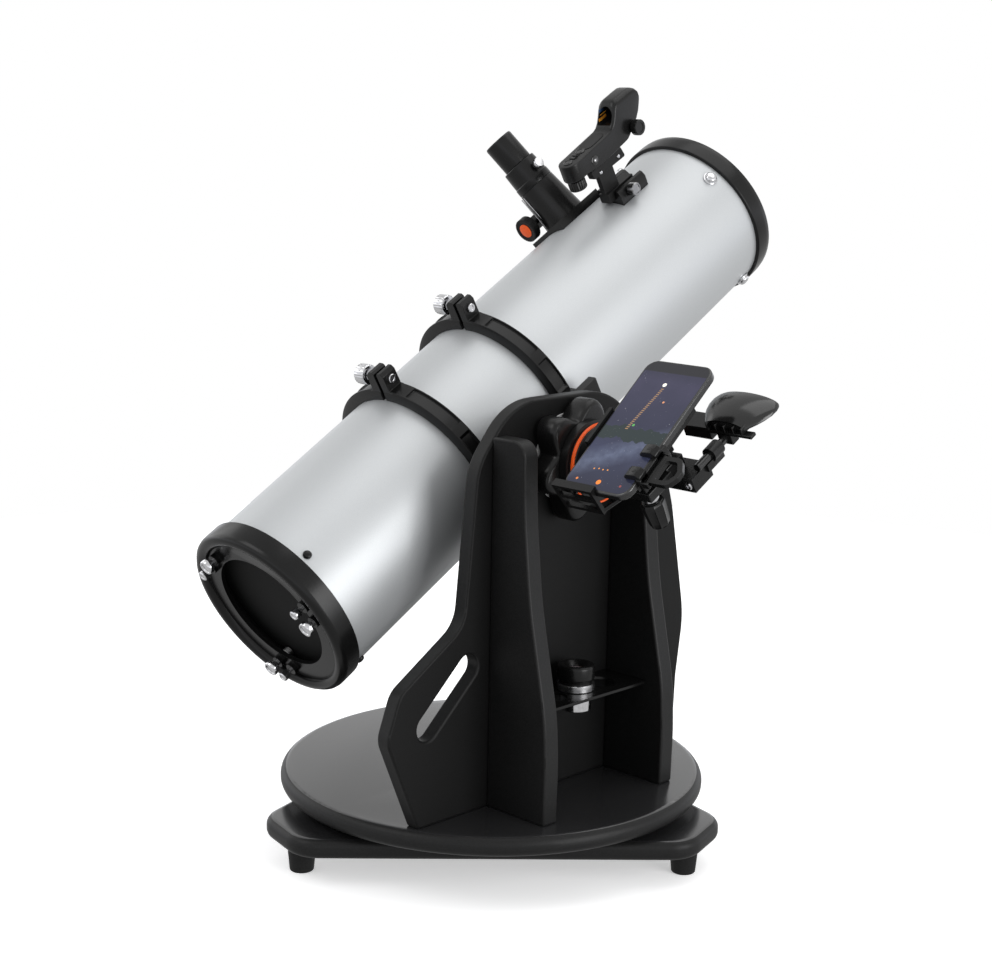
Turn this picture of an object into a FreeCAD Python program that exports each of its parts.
"""Tabletop single-arm Dobsonian reflector: a parametric FreeCAD document, in millimetres.

World frame: origin on the azimuth axis at floor level, +Z up, +Y the way the tube points along the
ground, +X along the altitude axis, out of the arm. The tube lies on the -X side of the arm.
Tube frame: origin where the altitude axis meets the tube's axis, x along +X, y along the tube
towards its open end, z square to both; it is tilted by the rest altitude.
"""
import FreeCAD, Part
import math
import os
import re
from FreeCAD import Placement, Rotation, Vector

X, Y, Z = Vector(1, 0, 0), Vector(0, 1, 0), Vector(0, 0, 1)
ALONG_X = Rotation(Z, X)
ALONG_Y = Rotation(Z, Y)

# ---------------------------------------------------------------- driving dimensions (mm, degrees)
SIZES = {
    "tilt": 30.2,              # altitude of the tube at rest
    "axis_x": -60.0,           # tube axis, out from the azimuth axis
    "axis_y": 4.0,             # altitude axis, forward of the azimuth axis
    "axis_z": 407.5,           # altitude axis, above the floor
    "foot_height": 28.0,
    "foot_low": 12.0,          # foot radius at the floor
    "foot_high": 15.0,
    "foot_circle": 217.5,      # radius of the circle that the feet stand on
    "board": 20.0,             # thickness of both round boards
    "glide": 7.0,              # thickness of a glide pad
    "turntable_r": 217.0,
    "turntable_z": 55.4,       # underside of the turntable
    "bolt_r": 5.0,
    "panel": 16.0,             # thickness of the arm board
    "rib": 19.0,               # thickness of the two rib boards
    "panel_x": 74.0,           # inner face of the arm
    "rear_rib_y": -98.0,
    "front_rib_y": 72.0,
    "shelf_z": 177.0,
    "shelf": 3.0,
    "shelf_reach": 56.0,
    "shelf_hole": 16.1,
    "barrel_r": 15.85,         # 1.25 inch eyepiece barrel
    "tube_r": 91.0,
    "wall": 1.2,
    "tube_back": -279.0,       # rear edge of the rolled tube
    "tube_front": 437.0,
    "rim_r": 95.0,             # outside of both end rings
    "ring_out": 103.0,         # outside of a tube ring
    "ring_in": 91.35,
    "ring_wide": 18.0,
    "lower_ring_y": -54.0,
    "upper_ring_y": 70.0,
    "ear_u": 113.0,            # height of a clamp bolt above the tube's axis
    "clamp_r": 3.0,
    "axle_r": 15.0,
    "knob_in": 151.8,          # back face of the altitude knob, in the tube frame
    "knob_out": 195.5,         # its front face
    "mirror_r": 76.0,
    "mirror": 20.0,
    "mirror_y": -264.0,        # back of the primary mirror
    "cell": 5.0,
    "opening_r": 64.0,         # hole in the rear ring
    "focus_y": 288.0,          # focuser axis, along the tube
    "focus_turn": -32.0,       # its direction round the tube, from the top
    "draw_r": 16.8,
    "draw_bore": 15.95,
    "housing_top": 142.0,      # measured from the tube's axis
    "collar": 29.0,
    "pinion_side": -21.8,
    "pinion_up": 112.0,
    "phone_w": 78.0,
    "phone_l": 160.8,
    "phone_d": 7.8,
    "dock_tilt": 10.4,
}

doc = FreeCAD.newDocument("dobsonian")
sheet = doc.addObject("Spreadsheet::Sheet", "Dims")
for row, (alias, size) in enumerate(SIZES.items(), start=1):
    sheet.set("A%d" % row, alias)
    sheet.set("B%d" % row, str(size))
    sheet.setAlias("B%d" % row, alias)
doc.recompute()


def size(alias):
    """The value of one cell of the sheet."""
    return float(sheet.get(alias))


def cells(text):
    """The same expression with each alias in it pointing at its cell."""
    return re.sub("[a-z_]{3,}", lambda m: ("Dims." if m[0] in SIZES else "") + m[0], text)


def set_size(thing, name, amount):
    """A number is set as it is, and a text is bound to the sheet."""
    if isinstance(amount, str):
        thing.setExpression(name, cells(amount))
    else:
        setattr(thing, name, amount)


# ---------------------------------------------------------------- building blocks
def block(corner, spans, turn=Rotation()):
    """A box from its lowest corner and its three lengths."""
    box = doc.addObject("Part::Box", "Block")
    for name, amount in zip(("Length", "Width", "Height"), spans):
        set_size(box, name, amount)
    box.Placement = Placement(Vector(*corner), turn)
    return box


def rod(at, radius, length, turn=Rotation()):
    """A cylinder that starts at a point and runs along the turned Z axis."""
    bar = doc.addObject("Part::Cylinder", "Rod")
    set_size(bar, "Radius", radius)
    set_size(bar, "Height", length)
    bar.Placement = Placement(Vector(*at), turn)
    return bar


def taper(at, first, second, length, turn=Rotation()):
    """A cone frustum that starts at a point with its first radius."""
    cone = doc.addObject("Part::Cone", "Taper")
    set_size(cone, "Radius1", first)
    set_size(cone, "Radius2", second)
    set_size(cone, "Height", length)
    cone.Placement = Placement(Vector(*at), turn)
    return cone


def fuse(*parts):
    """All the parts as one, or as a group of solids where they don't touch."""
    if len(parts) == 1:
        return parts[0]
    whole = doc.addObject("Part::MultiFuse", "Fused")
    whole.Shapes = list(parts)
    return whole


def cut(base, *tools):
    """The base with every tool taken out of it."""
    rest = doc.addObject("Part::Cut", "Trimmed")
    rest.Base = base
    rest.Tool = fuse(*tools)
    return rest


def turned(profile, at=(0, 0, 0), turn=Rotation()):
    """A body of revolution about Z: the profile is a closed list of (radius, height)."""
    body = doc.addObject("PartDesign::Body", "Turned")
    sketch = body.newObject("Sketcher::SketchObject", "Profile")
    plane = [f for f in body.Origin.OriginFeatures if f.Role == "XZ_Plane"]
    sketch.AttachmentSupport = [(plane[0], "")]
    sketch.MapMode = "FlatFace"
    ends = [Vector(r, z, 0) for r, z in profile]
    edges = [Part.LineSegment(a, b) for a, b in zip(ends, ends[1:] + ends[:1])]
    sketch.addGeometry(edges, False)
    spin = body.newObject("PartDesign::Revolution", "Spin")
    spin.Profile = sketch
    spin.ReferenceAxis = (sketch, ["V_Axis"])
    spin.Angle = 360
    body.Placement = Placement(Vector(*at), turn)
    return body


def rounded(points, radii):
    """Edges of a closed outline whose corners are rounded; a radius of 0 leaves a corner sharp."""
    count = len(points)
    ends = []
    for i, radius in enumerate(radii):
        here = Vector(points[i][0], points[i][1], 0)
        before = Vector(points[i - 1][0], points[i - 1][1], 0) - here
        after = Vector(points[(i + 1) % count][0], points[(i + 1) % count][1], 0) - here
        half = before.getAngle(after) / 2
        before.normalize()
        after.normalize()
        reach = radius / math.tan(half)
        inward = (before + after).normalize() if radius else Vector()
        middle = here + inward * (radius / math.sin(half) - radius)
        ends.append((here + before * reach, middle, here + after * reach, radius))
    edges = []
    for i, (start, middle, end, radius) in enumerate(ends):
        if radius:
            edges.append(Part.Arc(start, middle, end))
        edges.append(Part.LineSegment(end, ends[(i + 1) % count][0]))
    return edges


def plate(edges, thickness, at=(0, 0, 0), turn=Rotation(), holes=(), soft=0):
    """A board of one outline: a padded sketch, with the rim of both faces rounded if asked."""
    body = doc.addObject("PartDesign::Body", "Plate")
    sketch = body.newObject("Sketcher::SketchObject", "Outline")
    plane = [f for f in body.Origin.OriginFeatures if f.Role == "XY_Plane"]
    sketch.AttachmentSupport = [(plane[0], "")]
    sketch.MapMode = "FlatFace"
    sketch.addGeometry(list(edges), False)
    for hole in holes:
        sketch.addGeometry(list(hole), False)
    pad = body.newObject("PartDesign::Pad", "Board")
    pad.Profile = sketch
    set_size(pad, "Length", thickness)
    if soft:
        doc.recompute()
        faces = [
            "Face%d" % (n + 1)
            for n, face in enumerate(pad.Shape.Faces)
            if isinstance(face.Surface, Part.Plane) and abs(face.normalAt(0, 0).z) > 0.99
        ]
        edge = body.newObject("PartDesign::Fillet", "Rim")
        edge.Base = (pad, faces)
        edge.Radius = soft
        body.Tip = edge
    body.Placement = Placement(Vector(*at), turn)
    return body


def circle(x, y, radius):
    """One round hole of a sketch."""
    return [Part.Circle(Vector(x, y, 0), Z, radius)]


NODES = []


def node(thing, label, frame=None):
    """Names a finished sub-part and puts it in the frame that it was drawn in."""
    thing.Label = label
    if frame is not None:
        thing.Placement = frame * thing.Placement
    NODES.append(thing)
    return thing


def ring_of(count, radius, start=0.0):
    """Points evenly spaced on a circle."""
    turns = [math.radians(start + 360.0 * i / count) for i in range(count)]
    return [(radius * math.cos(t), radius * math.sin(t)) for t in turns]


TUBE = Placement(Vector(size("axis_x"), size("axis_y"), size("axis_z")), Rotation(X, size("tilt")))
FOCUS = TUBE * Placement(Vector(0, size("focus_y"), 0), Rotation(Y, size("focus_turn")))
DOCK_AT = Vector(272, -7, 62)       # middle of the phone's screen, in the tube frame
DOCK = TUBE * Placement(DOCK_AT, Rotation(X, size("dock_tilt")))

# ---------------------------------------------------------------- ground board and turntable
TRIANGLE_TURN = -43.7               # direction of the ground board's front edge
INRADIUS, CORNER_CUT = 156.0, 243.0
FEET = ring_of(3, size("foot_circle"), TRIANGLE_TURN + 60)


def ground_outline():
    """A triangle with its three corners cut off square and rounded."""
    half = (CORNER_CUT / 2 - INRADIUS) / math.sin(math.radians(60))
    points = []
    for i in range(3):
        turn = Rotation(Z, TRIANGLE_TURN + 60 + 120 * i)
        for side in (1, -1):
            point = turn.multVec(Vector(CORNER_CUT, half * side, 0))
            points.append((point.x, point.y))
    return rounded(points, [38] * 6)


def make_base():
    feet = [taper((x, y, 0), "foot_low", "foot_high", "foot_height") for x, y in FEET]
    node(fuse(*feet), "rubber_feet")

    top = size("foot_height") + size("board")
    hole = circle(0, 0, size("bolt_r"))
    board = plate(ground_outline(), "board", at=(0, 0, size("foot_height")), holes=[hole], soft=8)
    node(board, "ground_board")
    pads = [rod((x, y, top), 16, "glide") for x, y in ring_of(3, 150, TRIANGLE_TURN + 60)]
    node(fuse(*pads), "glide_pads")

    head_z, nut_z = size("foot_height") - 6, size("turntable_z") + size("board") + 0.4
    bolt = fuse(
        rod((0, 0, head_z), 10, 6),
        rod((0, 0, head_z), "bolt_r", nut_z + 9 - head_z),
        rod((0, 0, nut_z), 15, 1.6),
        rod((0, 0, nut_z + 1.6), 8.5, 6),
    )
    node(bolt, "azimuth_bolt")


# the arm's outline in (y, z), with the rounding of each corner
ARM = [
    (-188, 75.4, 0), (-228, 168, 22), (-212, 211, 26), (-131, 262, 34), (-116, 412, 60),
    (-70, 468, 70), (62, 468, 80), (150, 405, 60), (172, 335, 90), (196, 215, 110), (187, 150, 60),
    (184, 75.4, 0),
]
SLOT_ENDS = [(-125, 220), (-177, 172)]
SLOT_R = 13.0
SHELF_HOLES = (-38, -2, 34)
# a rib's outline in (x, z), from the arm's outer face
RIB = [
    (0, 75.4, 0), (75.5, 75.4, 0), (77, 128, 400), (74.5, 178, 250), (52, 286, 500),
    (43.2, 368, 500), (41.5, 438, 16), (0, 438, 0),
]


def slot_edges(first, second, radius):
    """A long hole with round ends."""
    a, b = Vector(first[0], first[1], 0), Vector(second[0], second[1], 0)
    ahead = (b - a).normalize()
    side = Vector(-ahead.y, ahead.x, 0) * radius
    return [
        Part.LineSegment(a + side, b + side),
        Part.Arc(b + side, b + ahead * radius, b - side),
        Part.LineSegment(b - side, a - side),
        Part.Arc(a - side, a - ahead * radius, a + side),
    ]


def make_turntable():
    rim = [Part.Circle(Vector(), Z, size("turntable_r"))]
    bore = circle(0, 0, size("bolt_r") + 0.06)
    node(plate(rim, "board", at=(0, 0, size("turntable_z")), holes=[bore], soft=9), "turntable_board")

    upright = Rotation(Y, Z, X, "ZXY")      # sketch x to world y, sketch y to world z
    holes = [
        slot_edges(SLOT_ENDS[0], SLOT_ENDS[1], SLOT_R),
        circle(size("axis_y"), size("axis_z"), size("axle_r") + 0.06),
    ]
    edges = rounded([(y, z) for y, z, _ in ARM], [r for _, _, r in ARM])
    node(plate(edges, "panel", at=(size("panel_x"), 0, 0), turn=upright, holes=holes), "arm_panel")

    outer = size("panel_x") + size("panel")
    side_on = Rotation(X, Z, -Y, "ZXY")     # a rib stands square to the arm
    for label in ("rear_rib", "front_rib"):
        edges = rounded([(x, z) for x, z, _ in RIB], [r for _, _, r in RIB])
        face = size(label + "_y") + size("rib")
        node(plate(edges, "rib", at=(outer, face, 0), turn=side_on), label)

    back, front = size("rear_rib_y") + size("rib"), size("front_rib_y")
    corners = [(0, back), (size("shelf_reach"), back), (size("shelf_reach"), front), (0, front)]
    rests = [circle(26, y, size("shelf_hole")) for y in SHELF_HOLES]
    shelf = plate(
        rounded(corners, [0, 6, 6, 0]), "shelf", at=(outer, 0, size("shelf_z")), holes=rests
    )
    node(shelf, "eyepiece_shelf")

    low = size("turntable_z")
    spots = [(82, -120), (82, 0), (82, 120)]
    for face in ("rear_rib_y", "front_rib_y"):
        spots += [(x, size(face) + size("rib") / 2) for x in (112, 150)]
    screws = [taper((x, y, low), 4.5, 2.2, 5) for x, y in spots]
    screws += [rod((x, y, low + 4), 2.2, 46) for x, y in spots]
    node(fuse(*screws), "base_screws")

    washers = [
        rod((size("panel_x") - 0.8, 0, 0), 40, 0.8, ALONG_X),
        rod((outer, 0, 0), 44, 1.4, ALONG_X),
    ]
    bores = rod((size("panel_x") - 5, 0, 0), "axle_r + 0.3", 40, ALONG_X)
    axis = Placement(Vector(0, size("axis_y"), size("axis_z")), Rotation())
    node(cut(fuse(*washers), bores), "altitude_washers", axis)


# ---------------------------------------------------------------- tube and mirrors (tube frame)
FOCUS_AXIS = Rotation(Y, size("focus_turn")).multVec(Z)
SCREW_TURNS = (45, 135, 225, 315)
PAIR_TURNS = (-45, 75, 195)         # the three pairs of collimation screws
PAIR_R, PAIR_SPREAD = 73.0, 7.0


def round_tube(radius, degrees, along):
    """A point on a circle about the tube's axis, measured from the top towards +X."""
    turn = math.radians(degrees)
    return Vector(radius * math.sin(turn), along, radius * math.cos(turn))


def outward(point):
    """The turn that points a piece's Z axis straight out from the tube's axis."""
    return Rotation(Z, Vector(point.x, 0, point.z))


def make_tube():
    focus_y, back = size("focus_y"), size("tube_back")
    shell = cut(
        rod((0, back, 0), "tube_r", "tube_front - tube_back", ALONG_Y),
        rod((0, back - 1, 0), "tube_r - wall", "tube_front - tube_back + 2", ALONG_Y),
        rod((0, focus_y, 0), "draw_r + 6", 110, Rotation(Z, FOCUS_AXIS)),
    )
    node(shell, "optical_tube", TUBE)

    front_y = size("tube_front") + 0.1
    front = cut(
        fuse(
            rod((0, 418, 0), "rim_r", front_y - 418, ALONG_Y),
            rod((0, front_y, 0), 93.5, 3, ALONG_Y),
        ),
        rod((0, 417, 0), "tube_r + 0.02", front_y - 417, ALONG_Y),
        rod((0, 430, 0), 86, 20, ALONG_Y),
    )
    node(front, "front_ring", TUBE)

    rim = cut(
        rod((0, back, 0), "rim_r", 13, ALONG_Y),
        rod((0, back, 0), "tube_r + 0.02", 14, ALONG_Y),
    )
    # a round lip stands behind the tube's edge
    bend = [math.radians(a) for a in range(0, 181, 30)]
    curve = [(88 + 7 * math.cos(a), back - 4 - 7 * math.sin(a)) for a in bend]
    lip = turned([(81, back), (size("rim_r"), back)] + curve, turn=ALONG_Y)
    flange = cut(
        rod((0, back - 5, 0), 92, 4.8, ALONG_Y),
        rod((0, back - 9, 0), "opening_r", 12, ALONG_Y),
    )
    bosses, bores = [], []
    for side, bore in ((PAIR_SPREAD, 3.08), (-PAIR_SPREAD, 2.08)):
        for turn in PAIR_TURNS:
            bosses.append(rod(round_tube(PAIR_R, turn + side, back - 10), 6, 6, ALONG_Y))
            bores.append(rod(round_tube(PAIR_R, turn + side, back - 12), bore, 14, ALONG_Y))
    node(cut(fuse(rim, lip, flange, *bosses), *bores), "rear_ring", TUBE)

    spots = [round_tube(size("tube_r") + 0.05, a, -257) for a in SCREW_TURNS]
    node(fuse(*[rod(p, 4.3, 3.2, outward(p)) for p in spots]), "cell_screws", TUBE)


def make_mirrors():
    back = size("mirror_y")
    plate_back = rod((0, back - size("cell"), 0), 79, "cell", ALONG_Y)
    clips = []
    for turn in PAIR_TURNS:
        about = Rotation(Y, turn)
        clips.append(block(about.multVec(Vector(-6, back - 1, 76.2)), (12, "mirror + 3", 2.8), about))
        clips.append(block(about.multVec(Vector(-6, back + size("mirror") + 0.2, 72)), (12, 1.8, 7), about))
    node(fuse(plate_back, *clips), "mirror_cell", TUBE)
    node(rod((0, back, 0), "mirror_r", "mirror", ALONG_Y), "primary_mirror", TUBE)

    springs = []
    for turn in PAIR_TURNS:
        foot = round_tube(PAIR_R, turn + PAIR_SPREAD, size("tube_back") - 0.1)
        springs.append(cut(rod(foot, 5.5, 8.6, ALONG_Y), rod(foot, 4.2, 9, ALONG_Y)))
    node(fuse(*springs), "collimation_springs", TUBE)

    for number, turn in enumerate(PAIR_TURNS, start=1):
        spot = round_tube(PAIR_R, turn + PAIR_SPREAD, -300)
        screw = fuse(
            rod(spot, 7.5, 5, ALONG_Y),
            rod(spot, 4.5, 8, ALONG_Y),
            rod(spot, 3, 29, ALONG_Y),
        )
        hollow = rod(spot - Y, 5, 3, ALONG_Y)
        node(cut(screw, hollow), "collimation_knob_%d" % number, TUBE)
        spot = round_tube(PAIR_R, turn - PAIR_SPREAD, -301)
        lock = fuse(rod(spot, 5, 9, ALONG_Y), rod(spot, 2, 21, ALONG_Y))
        node(lock, "collimation_lock_%d" % number, TUBE)


def make_secondary():
    hub = rod((0, 380, 0), 17, 32, ALONG_Y)
    vanes = []
    for turn in SCREW_TURNS:
        about = Rotation(Y, turn)
        corner = about.multVec(Vector(-0.5, 394, 15))
        vanes.append(block(corner, (1, 20, "tube_r - wall - 15.1"), about))
    node(fuse(hub, *vanes), "spider_vanes", TUBE)
    spots = [round_tube(size("tube_r") + 0.05, a, 404) for a in SCREW_TURNS]
    nuts = [fuse(rod(p, 8, 3.5, outward(p)), rod(p, 5.5, 6.5, outward(p))) for p in spots]
    node(fuse(*nuts), "spider_nuts", TUBE)

    # the flat mirror stands at 45 degrees and turns the light up the focuser
    middle = Vector(0, size("focus_y"), 0)
    slant = Rotation(Y, size("focus_turn")) * Rotation(X, 45)
    wide, glass = 120, 7.0

    def behind(depth):
        """Everything on the lit side of a plane parallel to the mirror's face."""
        corner = middle + slant.multVec(Vector(-wide / 2, -wide / 2, depth))
        return block(corner, (wide, wide, wide), slant)

    mirror = cut(rod((0, 230, 0), 22, 120, ALONG_Y), behind(0), behind(-glass - wide))
    node(mirror, "secondary_mirror", TUBE)
    stalk = fuse(rod((0, 230, 0), 20, 112, ALONG_Y), rod((0, 340, 0), 6, 40, ALONG_Y))
    node(cut(stalk, behind(-glass)), "secondary_holder", TUBE)


# ---------------------------------------------------------------- focuser and eyepieces (focuser frame)
def make_focuser():
    top, side, up = size("housing_top"), size("pinion_side"), size("pinion_up")
    flange = cut(
        block((-30, -35, 80), (60, 70, 16)),
        rod((0, -60, 0), "tube_r + 0.05", 120, ALONG_Y),
    )
    body = fuse(
        flange,
        taper((0, 0, 91), 25, 21.6, "housing_top - 91"),
        block((side - 5.5, -16, up - 8), (12, 32, 16)),
    )
    bores = [
        rod((0, 0, 80), "draw_r + 0.08", 80),
        block((-19, -3.4, 84), (6, 6.8, 70)),
        rod((side, -9, up), 3.6, 18, ALONG_Y),
        rod((side, -40, up), 2.56, 80, ALONG_Y),
    ]
    node(cut(body, *bores), "focuser_housing", FOCUS)

    rack = block((-18.4, -3, 88), (3, 6, top - 88))
    collar = taper((0, 0, top + 0.4), 21.6, 19.6, "collar")
    draw = fuse(rod((0, 0, 88), "draw_r", top - 80), rack, collar)
    bores = [rod((0, 0, 80), "draw_bore", 110), rod((10, 0, 158), 2.08, 20, ALONG_X)]
    node(cut(draw, *bores), "drawtube", FOCUS)
    screw = fuse(
        rod((16.4, 0, 158), 2, 8, ALONG_X),
        rod((22, 0, 158), 3.6, 3, ALONG_X),
        rod((24.5, 0, 158), 5.5, 7, ALONG_X),
    )
    node(screw, "drawtube_screw", FOCUS)

    shaft = [rod((side, -34, up), 2.5, 68, ALONG_Y), rod((side, -8, up), 3.2, 16, ALONG_Y)]
    knobs = [rod((side, y, up), 14, 12, ALONG_Y) for y in (-36.5, 24.5)]
    node(fuse(*shaft, *knobs), "focus_knobs", FOCUS)

    rim = top + 0.4 + size("collar")
    eyepiece = fuse(
        rod((0, 0, rim - 27), "barrel_r", 28),
        taper((0, 0, rim + 0.1), 16.6, 17, 3),
        rod((0, 0, rim + 3), 17, 27),
        taper((0, 0, rim + 30), 17, 15.5, 4.5),
    )
    hollow = [rod((0, 0, rim - 28), 13.8, 22), taper((0, 0, rim + 31), 8, 12.5, 4)]
    node(cut(eyepiece, *hollow), "eyepiece", FOCUS)


def make_spare_eyepiece():
    spot = (size("panel_x") + size("panel") + 26, SHELF_HOLES[1])
    z = size("shelf_z") + size("shelf") + 0.05
    body = fuse(
        rod((*spot, z - 20), "barrel_r", 22),
        rod((*spot, z), 18.5, 7),
        rod((*spot, z + 7), 16, 4),
        rod((*spot, z + 11), 18.5, 15),
    )
    hollow = [rod((*spot, z - 21), 14, 15), taper((*spot, z + 22), 8, 13, 5)]
    node(cut(body, *hollow), "spare_eyepiece")


# ---------------------------------------------------------------- red-dot finder (tube frame)
FINDER_X = 8.5
# side view (y, z), with the rounding of each corner
FINDER = [
    (256, 145, 3), (256, 164, 4), (329, 166.5, 14), (348, 191, 8), (377, 191, 7), (385, 184, 6),
    (382, 171, 8), (371, 157, 10), (349, 144.5, 8), (300, 142, 4), (277, 145, 4),
]
PIVOT = (335, 147)                  # (y, z) of the pin that the finder tilts on
WEB = [(289, 138.5, 1), (291, 129, 2), (345, 127, 2), (342, 139.5, 2)]
SCREW_AT = (324, 99)                # (y, z) of the shoe's clamp screw


def make_finder():
    x, half = FINDER_X, 12.5
    pivot_y, pivot_z = PIVOT
    screw_y, screw_z = SCREW_AT
    # the shoe is a saddle with a groove along the tube
    shoe = cut(
        block((x - 16, 307, 76), (32, 45, 29)),
        rod((0, 290, 0), "tube_r + 0.05", 80, ALONG_Y),
        block((x - 7, 300, 94.5), (14, 60, 20)),
        rod((x, screw_y, screw_z), 2.58, 30, ALONG_X),
    )
    node(shoe, "finder_shoe", TUBE)

    sideways = Rotation(Y, Z, X, "ZXY")
    edges = rounded([(y, z) for y, z, _ in WEB], [r for _, _, r in WEB])
    web = plate(edges, 8, at=(x - 4, 0, 0), turn=sideways)
    foot = cut(
        fuse(
            web,
            block((x - 3.5, pivot_y - 4, 136), (7, 8, 15)),
            block((x - 3, 299, 104), (6, 24, 26)),
            block((x - 6.8, 299, 94.8), (13.6, 44, 11)),
        ),
        rod((x - 5, pivot_y, pivot_z), 2.06, 10, ALONG_X),
    )
    node(foot, "finder_foot", TUBE)
    screw = fuse(
        rod((x + 7, screw_y, screw_z), 2.5, 14, ALONG_X),
        rod((x + 16.3, screw_y, screw_z), 7, 9, ALONG_X),
    )
    node(screw, "finder_shoe_screw", TUBE)

    edges = rounded([(y, z) for y, z, _ in FINDER], [r for _, _, r in FINDER])
    window = fuse(rod((x, 334, 177), 9.5, 60, ALONG_Y), block((x - 9.5, 334, 167.5), (19, 60, 9.5)))
    pocket = block((x - 4.2, pivot_y - 9, 135), (8.4, 18, 17.5))
    body = fuse(
        cut(plate(edges, 2 * half, at=(x - half, 0, 0), turn=sideways), window, pocket),
        rod((x - 8, pivot_y, pivot_z), 2, 16, ALONG_X),
    )
    node(body, "finder_body", TUBE)
    lens = fuse(rod((x, 366, 177), 9.45, 2, ALONG_Y), block((x - 9.45, 366, 168), (18.9, 2, 9)))
    node(lens, "finder_lens", TUBE)
    knob = fuse(
        rod((x + half, 362, 152), 4, 3, ALONG_X),
        rod((x + half + 2, 362, 152), 8.5, 8, ALONG_X),
    )
    node(knob, "finder_side_knob", TUBE)
    dial = fuse(rod((x, 268.5, 132), 9.5, 11), rod((x, 268.5, 142), 5, 2.9))
    node(dial, "finder_dial", TUBE)


# ---------------------------------------------------------------- tube rings and altitude bearing
def make_rings():
    wide, up = size("ring_wide"), size("ear_u")
    for label, middle in (("lower", size("lower_ring_y")), ("upper", size("upper_ring_y"))):
        back = middle - wide / 2
        ring = fuse(
            rod((0, back, 0), "ring_out", "ring_wide", ALONG_Y),
            block((-13, back, 92), (24, "ring_wide", 31)),
            block((97, back, -20), (14, "ring_wide", 40)),
        )
        gone = [
            rod((0, back - 1, 0), "ring_in", "ring_wide + 2", ALONG_Y),
            block((-2, back - 1, 80), (4, "ring_wide + 2", 50)),
            rod((-20, middle, up), "clamp_r + 0.08", 50, ALONG_X),
        ]
        node(cut(ring, *gone), label + "_ring", TUBE)
        knob = fuse(
            rod((-33, middle, up), "clamp_r", 46, ALONG_X),
            rod((11.3, middle, up), 4.6, 2.6, ALONG_X),
            rod((-18.4, middle, up), 6, 5, ALONG_X),
            rod((-33.5, middle, up), 10.2, 14, ALONG_X),
        )
        node(knob, label + "_ring_knob", TUBE)

    node(block((111, -80, -22), (10, 178, 44)), "dovetail_bar", TUBE)
    jaws = [block((111.5, -38, z), (11, 76, 10)) for z in (-32.2, 22.2)]
    node(fuse(rod((121.1, 0, 0), 42, 11.9, ALONG_X), *jaws), "altitude_saddle", TUBE)
    node(rod((133, 0, 0), "axle_r", 63, ALONG_X), "altitude_axle", TUBE)


LOBE_TURN = -12.2                   # direction of the first lobe of the altitude knob


def make_altitude_knob():
    back, front = size("knob_in"), size("knob_out")
    lobes = [rod((back, y, z), 14, 27, ALONG_X) for y, z in ring_of(6, 46, LOBE_TURN)]
    body = fuse(
        rod((back, 0, 0), 47, 27, ALONG_X),
        *lobes,
        taper((back + 27, 0, 0), 45, 39, 8, ALONG_X),
        rod((back + 30, 0, 0), 37, front - back - 30, ALONG_X),
    )
    node(cut(body, rod((back - 1, 0, 0), "axle_r + 0.08", 60, ALONG_X)), "altitude_knob", TUBE)
    trim = cut(
        rod((front - 4.2, 0, 0), 39.2, 3.4, ALONG_X),
        rod((front - 6, 0, 0), 37.1, 7, ALONG_X),
    )
    node(trim, "altitude_knob_trim", TUBE)


# ---------------------------------------------------------------- phone dock
ROD_Z = -11.1                       # height of the dock's sliding rods, in the phone's frame
JAW_RODS = (-28, -6)
CLAMP_RODS = (-46, -24)


HOOD_ROD = (314, 12.2)              # (x, z) of the rod that the mirror hood slides on
HOOD_ROD_R = 4.0


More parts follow.
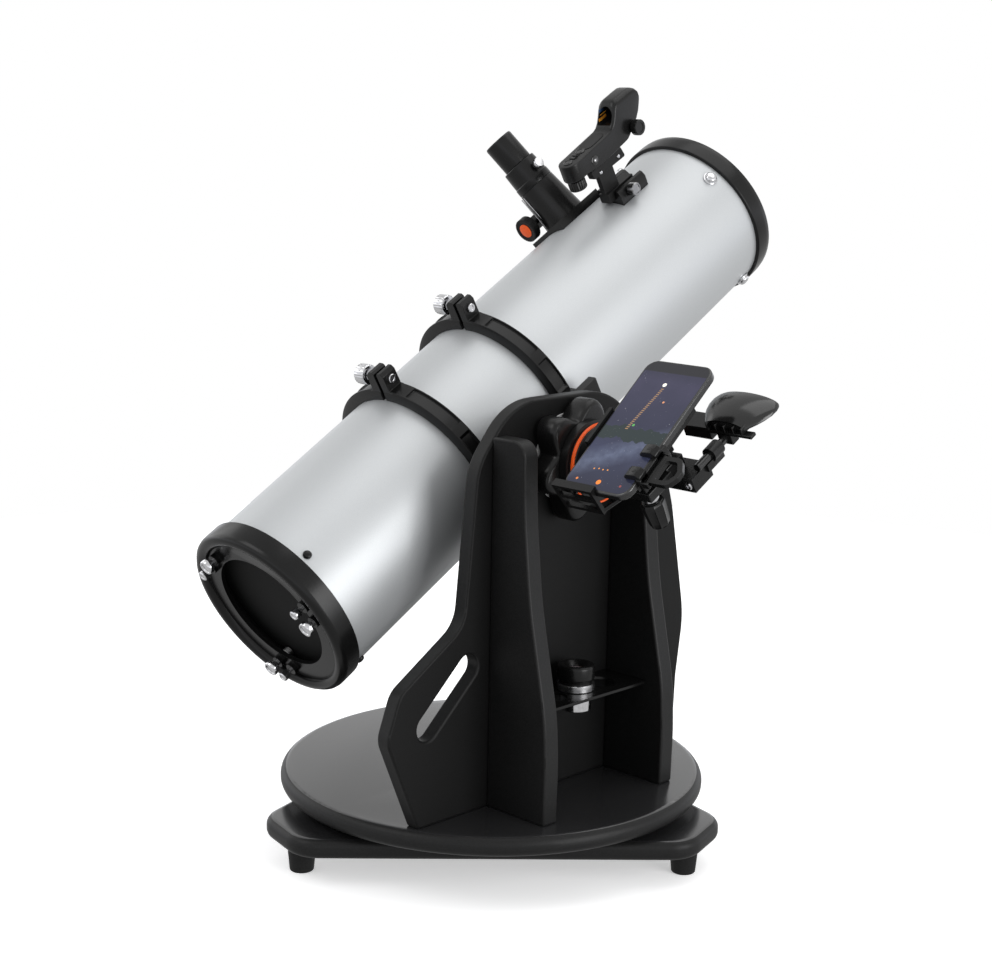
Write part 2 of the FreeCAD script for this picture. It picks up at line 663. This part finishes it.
def make_dock():
    rod_x, rod_z = HOOD_ROD
    bracket = cut(
        fuse(
            rod((196, 0, 0), 20, 18, ALONG_X),
            block((205, -8, -7), (110, 28, 15)),
            block((304, 14, 1), (14, 25, 8)),
            rod((rod_x, 24, rod_z), 7.5, 15, ALONG_Y),
        ),
        rod((rod_x, 0, rod_z), HOOD_ROD_R + 0.08, 50, ALONG_Y),
    )
    node(bracket, "dock_bracket", TUBE)
    stage = fuse(
        block((238, -14, 8.4), (56, 26, 12)),
        block((274, -48, 8.4), (24, 36, 10)),
    )
    pad = block((-26, -12, -42), (40, 24, 9))
    pad.Placement = TUBE.inverse() * DOCK * pad.Placement
    node(fuse(stage, pad), "dock_stage", TUBE)
    knob = fuse(
        rod((286, -36, -2), 3, 10.3),
        rod((286, -36, 1.4), 8, 6.8),
        taper((286, -36, -27), 9.5, 12, 28),
    )
    node(knob, "dock_knob", TUBE)

    phone_w, phone_l, phone_d = size("phone_w"), size("phone_l"), size("phone_d")
    under = -phone_d - 0.3
    tray = cut(
        fuse(
            block((-43, -62, under - 6), (79, 100, 6)),
            block((-43, -30, under - 1), (3.6, 44, 12)),
            block((-22, -9, -32.7), (32, 18, 20)),
        ),
        *[rod((x, -70, ROD_Z), 2.08, 46, ALONG_Y) for x in JAW_RODS],
        *[rod((8, y, ROD_Z), 2.08, 40, ALONG_X) for y in CLAMP_RODS],
    )
    node(tray, "dock_tray", DOCK)
    edge = -phone_l / 2 - 0.4
    arm_start, arm_end = Vector(0, edge - 2, -25), Vector(22, -54, -21)
    reach = arm_end - arm_start
    jaw = fuse(
        block((-45, edge - 4, -27), (48, 4, 4)),
        block((-45, edge - 4, 0.5), (48, 8, 3)),
        block((-45, edge - 4, -27), (4, 4, 30)),
        block((-1, edge - 4, -27), (4, 4, 30)),
        block((-45, edge - 4, -13), (48, 4, 4)),
        *[rod((x, edge - 3, ROD_Z), 2, 48, ALONG_Y) for x in JAW_RODS],
        rod(arm_start, 2.2, reach.Length, Rotation(Z, reach)),
    )
    node(jaw, "dock_jaw", DOCK)
    side = phone_w / 2 + 0.4
    hinge_x = side + 9
    clamp = fuse(
        block((side, -62, -14), (5, 45, 16)),
        *[block((side - 14, y, 0.5), (16, 11, 8)) for y in (-61, -34)],
        *[rod((12, y, ROD_Z), 2, side - 10, ALONG_X) for y in CLAMP_RODS],
        *[block((side + 4, y, -7.5), (8, 3, 7)) for y in (-62, -26)],
        rod((hinge_x, -60, -4), 1.5, 35, ALONG_Y),
    )
    node(clamp, "dock_clamp", DOCK)
    loop = [(0, -58.5), (22, -58.5), (28, -48), (28, -40), (20, -26.5), (0, -26.5)]
    gap = [(5, -53.5), (19, -53.5), (23, -46), (23, -41), (17, -31.5), (5, -31.5)]
    hole = rounded(gap, [2, 5, 3, 3, 5, 2])
    frame = plate(rounded(loop, [0, 9, 6, 6, 9, 0]), 5, at=(hinge_x, 0, -6.5), holes=[hole])
    lever = cut(
        fuse(frame, rod((hinge_x, -58.5, -4), 3, 32, ALONG_Y)),
        rod((hinge_x, -60, -4), 1.56, 35, ALONG_Y),
    )
    node(lever, "dock_lever", DOCK)
    slab = block((-phone_w / 2, -phone_l / 2, -phone_d), ("phone_w", "phone_l", "phone_d"))
    node(slab, "smartphone", DOCK)


def make_hood():
    """A flared visor over a small mirror that looks along the tube, on its own sliding rod."""
    def oval(y, wide, tall):
        ring = Part.Ellipse(Vector(), wide, tall).toShape()
        ring.Placement = Placement(Vector(314, y, 22), Rotation(X, 90))
        return Part.Wire([ring])

    outer = Part.makeLoft([oval(54, 20, 8), oval(72, 32, 15), oval(97, 39, 18)], True)
    inner = Part.makeLoft([oval(56, 18, 6), oval(72, 30, 13), oval(97.5, 37, 16)], True)
    below = Part.makeBox(120, 80, 40, Vector(254, 40, -18))
    rod_x, rod_z = HOOD_ROD
    pieces = [
        Part.makeCylinder(HOOD_ROD_R, 50, Vector(rod_x, 4, rod_z), Y),
        Part.makeBox(78, 8, 3.5, Vector(270, 50, 16)),
        Part.makeBox(32, 22, 22, Vector(266, 50, 8)),
        Part.makeBox(16, 10, 12, Vector(306, 50, 6)),
    ]
    pieces += [Part.makeBox(2, 9, 8, Vector(x, 50, 19)) for x in (305, 321, 337)]
    hood = doc.addObject("Part::Feature", "Hood")
    hood.Shape = outer.cut(inner).cut(below).fuse(pieces).removeSplitter()
    node(hood, "mirror_hood", TUBE)
    lean = Rotation(X, 45)
    node(block(Vector(300, 61.9, 12), (30, 20, 2.5), lean), "dock_mirror", TUBE)


make_base()
make_turntable()
make_tube()
make_mirrors()
make_secondary()
make_focuser()
make_spare_eyepiece()
make_finder()
make_rings()
make_altitude_knob()
make_dock()
make_hood()
doc.recompute()

# ---------------------------------------------------------------- checks and output
for thing in doc.Objects:
    if "Invalid" in thing.State or "Error" in thing.State:
        raise SystemExit("%s (%s) failed: %s" % (thing.Name, thing.Label, thing.State))
for thing in NODES:
    if thing.Shape.isNull() or not thing.Shape.isValid() or not thing.Shape.Solids:
        raise SystemExit("%s has no valid shape" % thing.Label)

os.makedirs("parts", exist_ok=True)
for thing in NODES:
    thing.Shape.exportStep("parts/%s.step" % thing.Label)
    print("%-22s %2d solid(s) %10.1f mm3" % (thing.Label, len(thing.Shape.Solids), thing.Shape.Volume))
print(len(NODES), "sub-parts")
